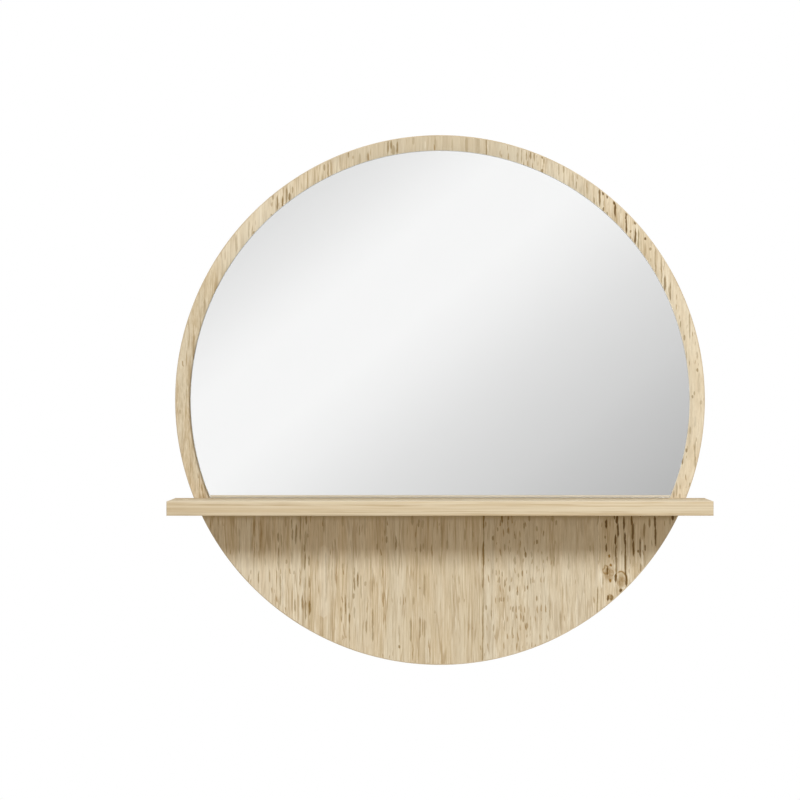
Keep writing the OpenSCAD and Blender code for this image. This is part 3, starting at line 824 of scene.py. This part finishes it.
def block(low, high):
    shape = bmesh.new()
    place = Matrix.LocRotScale((low + high) / 2, None, high - low)
    bmesh.ops.create_cube(shape, size=1.0, matrix=place)
    return shape


def round_edges(shape, edges, width, steps=ROUNDING_STEPS):
    bmesh.ops.bevel(
        shape, geom=edges, offset=width, offset_type="OFFSET", segments=steps, profile=0.5,
        affect="EDGES", material=-1,
    )


def edges_at(shape, axis, value):
    """The edges whose two ends both lie at a value on an axis."""
    return [e for e in shape.edges if all(abs(v.co[axis] - value) < SAME_PLACE for v in e.verts)]


def is_level(edge):
    first, second = edge.verts
    return abs(first.co.z - second.co.z) < SAME_PLACE


def mirror_plate(radius, front, back, bottom):
    """A round plate that faces the front, cut off level at its bottom."""
    shape = bmesh.new()
    facing = Matrix.Translation((0, front, 0)) @ Matrix.Rotation(pi / 2, 4, "X")
    bmesh.ops.create_circle(shape, cap_ends=True, segments=RIM_STEPS, radius=radius, matrix=facing)
    everything = shape.verts[:] + shape.edges[:] + shape.faces[:]
    bmesh.ops.bisect_plane(
        shape, geom=everything, plane_co=(0, 0, bottom), plane_no=UP, clear_inner=True
    )
    made = bmesh.ops.extrude_face_region(shape, geom=shape.faces[:])["geom"]
    moved = [v for v in made if isinstance(v, bmesh.types.BMVert)]
    bmesh.ops.translate(shape, verts=moved, vec=(0, back - front, 0))
    bmesh.ops.recalc_face_normals(shape, faces=shape.faces[:])
    return shape


def hoop(inner, outer, front, back, rounding):
    """A band round the board, its outer edges rounded."""
    shape = bmesh.new()
    corners = [(inner, back), (outer, back), (outer, front), (inner, front)]
    verts = [shape.verts.new((x, y, 0)) for x, y in corners]
    shape.faces.new(verts)
    bmesh.ops.bevel(
        shape, geom=verts[1:3], offset=rounding, offset_type="OFFSET", segments=ROUNDING_STEPS,
        profile=0.5, affect="VERTICES", material=-1,
    )
    bmesh.ops.delete(shape, geom=shape.faces[:], context="FACES_ONLY")
    bmesh.ops.spin(
        shape, geom=shape.verts[:] + shape.edges[:], cent=(0, 0, 0), axis=(0, 1, 0),
        angle=2 * pi, steps=RIM_STEPS, use_merge=True,
    )
    bmesh.ops.remove_doubles(shape, verts=shape.verts[:], dist=MERGE_WITHIN)
    bmesh.ops.recalc_face_normals(shape, faces=shape.faces[:])
    return shape


def placed(name, shape, materials):
    """Puts a shape in the scene as an object of its own."""
    mesh = bpy.data.meshes.new(name)
    shape.to_mesh(mesh)
    shape.free()
    for material in materials:
        mesh.materials.append(material)
    made = bpy.data.objects.new(name, mesh)
    bpy.context.scene.collection.objects.link(made)
    return made


def finished(name, shape, materials, node):
    """Makes a shape a piece of the object, in place of a CAD node."""
    piece = placed(name, shape, materials)
    piece.data.shade_smooth()
    piece.data.set_sharp_from_angle(angle=SHARP_ANGLE)
    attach(piece, ROOT)
    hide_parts(node)


def dress(material, *names):
    """Gives CAD nodes that stay as they are their material."""
    for name in names:
        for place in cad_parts[name].material_slots:
            place.material = material


def colour_property(name, description, shown):
    """A colour. shown is its default as a screen shows it, from 0 to 255."""
    default = Color([value / 255 for value in shown]).from_srgb_to_scene_linear()
    return FloatVectorProperty(
        name=name, description=description, default=default, subtype="COLOR", size=3, min=0, max=1
    )


def number_property(name, description, default, **limits):
    return FloatProperty(name=name, description=description, default=default, **limits)


def share_property(name, description, default):
    return number_property(name, description, default, min=0, max=1)


def length_property(name, description, default, **limits):
    return number_property(name, description, default, unit="LENGTH", **limits)


def angle_property(name, description, degrees):
    return number_property(name, description, radians(degrees), unit="ROTATION")


class OakSettings(bpy.types.PropertyGroup):
    pale: colour_property("Pale", "The oak's paler bands", (217, 200, 170))
    warm: colour_property("Warm", "The oak's warmer bands", (210, 189, 155))
    cool: colour_property("Cool", "The oak's greyer bands", (213, 203, 182))
    light: colour_property("Light fibres", "The lighter fibres", (237, 224, 199))
    # fibre is also the colour of the board's painted shade below the shelf
    fibre: colour_property("Dark fibres", "The darker fibres", (180, 158, 120))
    # bright is also the colour of the shelf's painted light
    bright: colour_property("Bright", "The pale lines beside cracks", (240, 229, 207))
    pore: colour_property("Pores", "Pores, fine lines and knots", (146, 110, 52))
    streak: colour_property("Streaks", "Strong streaks and seams", (124, 94, 30))
    crack: colour_property("Cracks", "Cracks in the weathered plank", (84, 53, 10))
    rim: colour_property("Rim", "The band round the board", (208, 189, 158))
    fibre_strength: share_property("Fibre strength", "How much the fibres show", 0.52)
    line_strength: share_property("Line strength", "How much the fine brown lines show", 0.36)
    pore_strength: share_property("Pore strength", "How much the pores show", 0.75)
    pale_strength: share_property("Pale strength", "How much the board's pale lines show", 0.7)
    seam_strength: share_property("Seam strength", "How much the planks' seams show", 0.85)
    streak_strength: share_property("Streak strength", "How much the board's streaks show", 0.9)
    crack_strength: share_property("Crack strength", "How much the cracks show", 0.7)
    rim_strength: share_property("Rim strength", "How much the rim's colour covers its grain", 0.6)


class ShapeSettings(bpy.types.PropertyGroup):
    band_rounding: length_property(
        "Band rounding", "Radius of the edge bands' outer edges", 0.65 * MM, min=0, max=0.7 * MM
    )
    arris: length_property(
        "Arris", "Width of the chamfer round the mirror's glass", 0.12 * MM, min=0.1 * MM, max=MM
    )


class StageSettings(bpy.types.PropertyGroup):
    camera_distance: length_property(
        "Camera distance", "From the board's front to the camera", 2.763, min=0.5, max=10
    )
    lens: number_property("Lens", "The camera's focal length in millimetres", 146.4)
    shift: number_property("Shift", "How far the picture is shifted", -0.05)
    key_power: number_property("Key power", "The key lamp's power", 30.0, min=0)
    key_colour: colour_property("Key colour", "Colour of the key lamp's light", (238, 246, 255))
    key_distance: length_property("Key distance", "From the board to the key lamp", 2.2)
    key_size: length_property("Key size", "Side of the key lamp", 0.36)
    key_turn: angle_property("Key turn", "How far right of the viewer the key lamp stands", 15)
    key_height: angle_property("Key height", "How steeply the key light comes down", 20.6)
    fill: number_property("Fill", "Strength of the light from all round", 0.5)
    fill_colour: colour_property(
        "Fill colour", "Colour of the light from all round", (255, 248, 237)
    )
    fill_tilt: share_property("Fill tilt", "How much more of the fill light comes from above", 0.6)
    screen_distance: length_property(
        "Screen distance", "From the mirror to the screen that it reflects", 4.0
    )
    floor_drop: length_property(
        "Floor drop", "How far the floor lies below the mirror's middle", 1.4
    )


class MIRROR_OT_board(bpy.types.Operator):
    """The board's two faces, its core and its edge band"""

    bl_idname = "mirror_shelf.board"
    bl_label = "Board"

    def execute(self, context):
        oak = context.scene.mirror_oak
        shapes = context.scene.mirror_shapes
        dress(oak_board_front(oak), "board_front_laminate")
        dress(oak_plain("oak board back", oak, upright_grain, 8.1), "board_back_laminate")
        dress(fibreboard(), "board_core")
        band = hoop(CORE_RADIUS, BOARD_RADIUS, BAND_LOW.y, BAND_HIGH.y, shapes.band_rounding)
        rim = oak_plain("oak board rim", oak, rim_grain, 5.2, tint=oak.rim)
        finished("board_rim", band, [rim], "board_edge_band")
        return {"FINISHED"}


class MIRROR_OT_mirror(bpy.types.Operator):
    """The mirror's glass, its silver coat and the tapes behind it"""

    bl_idname = "mirror_shelf.mirror"
    bl_label = "Mirror"

    def execute(self, context):
        back = GLASS_HIGH.y + SILVER_BITE
        glass = mirror_plate(MIRROR_RADIUS, GLASS_LOW.y, back, GLASS_LOW.z)
        bottom = set(edges_at(glass, Z, GLASS_LOW.z))
        outline = edges_at(glass, Y, GLASS_LOW.y) + edges_at(glass, Y, back)
        outline = [edge for edge in outline if edge not in bottom]
        round_edges(glass, outline, context.scene.mirror_shapes.arris, 1)
        for face in glass.faces:
            face.material_index = int(abs(face.normal.y) < FACES_FRONT)
        finished("glass", glass, [clear_glass(), ground_glass()], "mirror_glass")
        dress(silver(), "mirror_silvering")
        dress(foam(), *(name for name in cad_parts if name.startswith("mirror_tape")))
        return {"FINISHED"}


class MIRROR_OT_shelf(bpy.types.Operator):
    """The shelf's faces, its core and the bands on its edges"""

    bl_idname = "mirror_shelf.shelf"
    bl_label = "Shelf"

    def execute(self, context):
        oak = context.scene.mirror_oak
        rounding = context.scene.mirror_shapes.band_rounding
        long_oak = oak_shelf(oak)
        end_oak = oak_plain("oak shelf end", oak, shelf_end_grain, 6.4)
        dress(long_oak, "shelf_top_laminate", "shelf_bottom_laminate", "shelf_back_band")
        front = block(SHELF_LOW, SHELF_HIGH)
        round_edges(front, edges_at(front, Y, SHELF_LOW.y), rounding)
        finished("shelf_front", front, [long_oak], "shelf_front_band")
        for name, side in (("left", 0), ("right", 1)):
            node = f"shelf_{name}_band"
            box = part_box(node)
            end = block(*box)
            outer = [edge for edge in edges_at(end, X, box[side].x) if is_level(edge)]
            round_edges(end, outer, rounding)
            finished(f"shelf_{name}", end, [end_oak], node)
        dress(fibreboard(), "shelf_core")
        return {"FINISHED"}


class MIRROR_OT_fixings(bpy.types.Operator):
    """The dowels, the screws and the keyhole plates"""

    bl_idname = "mirror_shelf.fixings"
    bl_label = "Fixings"

    def execute(self, context):
        beech = oak_plain("beech", context.scene.mirror_oak, shelf_end_grain, 4.4)
        dress(beech, "shelf_dowel_left", "shelf_dowel_right")
        dress(zinc(), *(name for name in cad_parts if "screw" in name or "plate" in name))
        return {"FINISHED"}


def aimed(thing, location, target):
    """Puts a lamp or camera at a place, turned to another."""
    held = bpy.data.objects.new(thing.name, thing)
    bpy.context.scene.collection.objects.link(held)
    held.location = location
    held.rotation_euler = (target - location).to_track_quat("-Z", "Y").to_euler()
    return held


def sheet(name, matrix, half, material):
    """A flat square of the stage."""
    shape = bmesh.new()
    bmesh.ops.create_grid(shape, x_segments=1, y_segments=1, size=half, matrix=matrix)
    made = placed(name, shape, [material])
    return made


def surroundings(stage):
    """White where the camera or a reflection sees it, and a plain fill light elsewhere."""
    world = bpy.data.worlds.new("studio")
    bpy.context.scene.world = world
    world.use_nodes = True
    nodes = Nodes(world.node_tree)
    toward = nodes.add("ShaderNodeTexCoord").outputs["Generated"]
    _, _, upward = nodes.parts(toward)
    strength = nodes.scaled(upward, stage.fill * stage.fill_tilt, stage.fill)
    path = nodes.add("ShaderNodeLightPath").outputs
    seen = nodes.most(path[f"Is {kind} Ray"] for kind in ("Camera", "Glossy", "Transmission"))
    colour = nodes.stained(stage.fill_colour, (seen, WHITE))
    hidden = nodes.product(strength, nodes.scaled(seen, -1, 1))
    strength = nodes.math("ADD", hidden, seen)
    nodes.feed(world.node_tree.nodes["Background"], {"Color": colour, "Strength": strength})


def screen_material(spread):
    """Tones along a diagonal, spread as much wider than on the mirror as the screen is further."""
    material = bpy.data.materials.new("screen")
    material.use_nodes = True
    nodes = Nodes(material.node_tree)
    x, _, z = nodes.parts(nodes.millimetres())
    slope = (1 + TONE_SLOPE**2) ** 0.5 * spread
    down = nodes.math("SUBTRACT", x, nodes.scaled(z, TONE_SLOPE))
    first, last = TONE_STEPS[0][0], TONE_STEPS[-1][0]
    ends = {"Value": nodes.math("DIVIDE", down, slope), "From Min": first, "From Max": last}
    ramp = nodes.add("ShaderNodeValToRGB", {0: nodes.add("ShaderNodeMapRange", ends).outputs[0]})
    steps = ramp.color_ramp.elements
    while len(steps) < len(TONE_STEPS):
        steps.new(0.5)
    for step, (at, tone) in zip(steps, TONE_STEPS, strict=True):
        step.position = (at - first) / (last - first)
        step.color = (tone, tone, tone, 1)
    light = {"Color": ramp.outputs[0], "Strength": SCREEN_GLOW}
    glow = nodes.add("ShaderNodeEmission", light).outputs[0]
    nodes.feed(material.node_tree.nodes["Material Output"], {"Surface": glow})
    return material


class MIRROR_OT_stage(bpy.types.Operator):
    """The camera, the lamps, the floor and the screen that the mirror reflects"""

    bl_idname = "mirror_shelf.stage"
    bl_label = "Stage"

    def execute(self, context):
        scene, stage = context.scene, context.scene.mirror_stage
        board_front = Vector((0, BOARD_FRONT, 0))
        lens = bpy.data.cameras.new("camera")
        lens.lens = stage.lens
        lens.sensor_width = SENSOR_WIDTH
        lens.shift_x = stage.shift
        eye = board_front - Vector((0, stage.camera_distance, 0))
        scene.camera = aimed(lens, eye, board_front)

        lamp = bpy.data.lights.new("key", "AREA")
        lamp.shape = "SQUARE"
        lamp.size = stage.key_size
        lamp.energy = stage.key_power
        lamp.color = stage.key_colour
        toward = Vector((
            cos(stage.key_height) * sin(stage.key_turn),
            -cos(stage.key_height) * cos(stage.key_turn),
            sin(stage.key_height),
        ))
        aimed(lamp, board_front + toward * stage.key_distance, board_front)
        surroundings(stage)

        floor, nodes, shader = new_material("floor")
        nodes.feed(shader, {"Base Color": opaque(FLOOR_GREY), "Roughness": 0.8})
        sheet("floor", Matrix.Translation((0, 0, -stage.floor_drop)), FLOOR_REACH, floor)

        to_silver = GLASS_HIGH.y - eye.y
        spread = 1 + stage.screen_distance / to_silver
        behind = Matrix.Translation((0, GLASS_HIGH.y - stage.screen_distance, 0))
        facing = behind @ Matrix.Rotation(-pi / 2, 4, "X")
        screen = sheet("screen", facing, SCREEN_REACH, screen_material(spread))
        screen.visible_camera = False
        screen.visible_diffuse = False
        screen.visible_shadow = False
        scene.view_settings.view_transform = "Standard"
        return {"FINISHED"}


class MIRROR_PT_panel(bpy.types.Panel):
    bl_idname = "MIRROR_PT_panel"
    bl_label = "Mirror with shelf"
    bl_space_type = "VIEW_3D"
    bl_region_type = "UI"
    bl_category = "Mirror"

    def draw(self, context):
        for operator in OPERATORS:
            self.layout.operator(operator.bl_idname)


OPERATORS = (MIRROR_OT_board, MIRROR_OT_mirror, MIRROR_OT_shelf, MIRROR_OT_fixings, MIRROR_OT_stage)
SETTINGS = {
    "mirror_oak": OakSettings, "mirror_shapes": ShapeSettings, "mirror_stage": StageSettings,
}


def register():
    for kind in (*SETTINGS.values(), *OPERATORS, MIRROR_PT_panel):
        bpy.utils.register_class(kind)
    for name, kind in SETTINGS.items():
        setattr(bpy.types.Scene, name, PointerProperty(type=kind))


def unregister():
    for name in SETTINGS:
        delattr(bpy.types.Scene, name)
    for kind in (MIRROR_PT_panel, *reversed(OPERATORS), *reversed(SETTINGS.values())):
        bpy.utils.unregister_class(kind)


def main():
    register()
    for name in ("board", "mirror", "shelf", "fixings", "stage"):
        getattr(bpy.ops.mirror_shelf, name)()


if __name__ == "__main__":
    main()
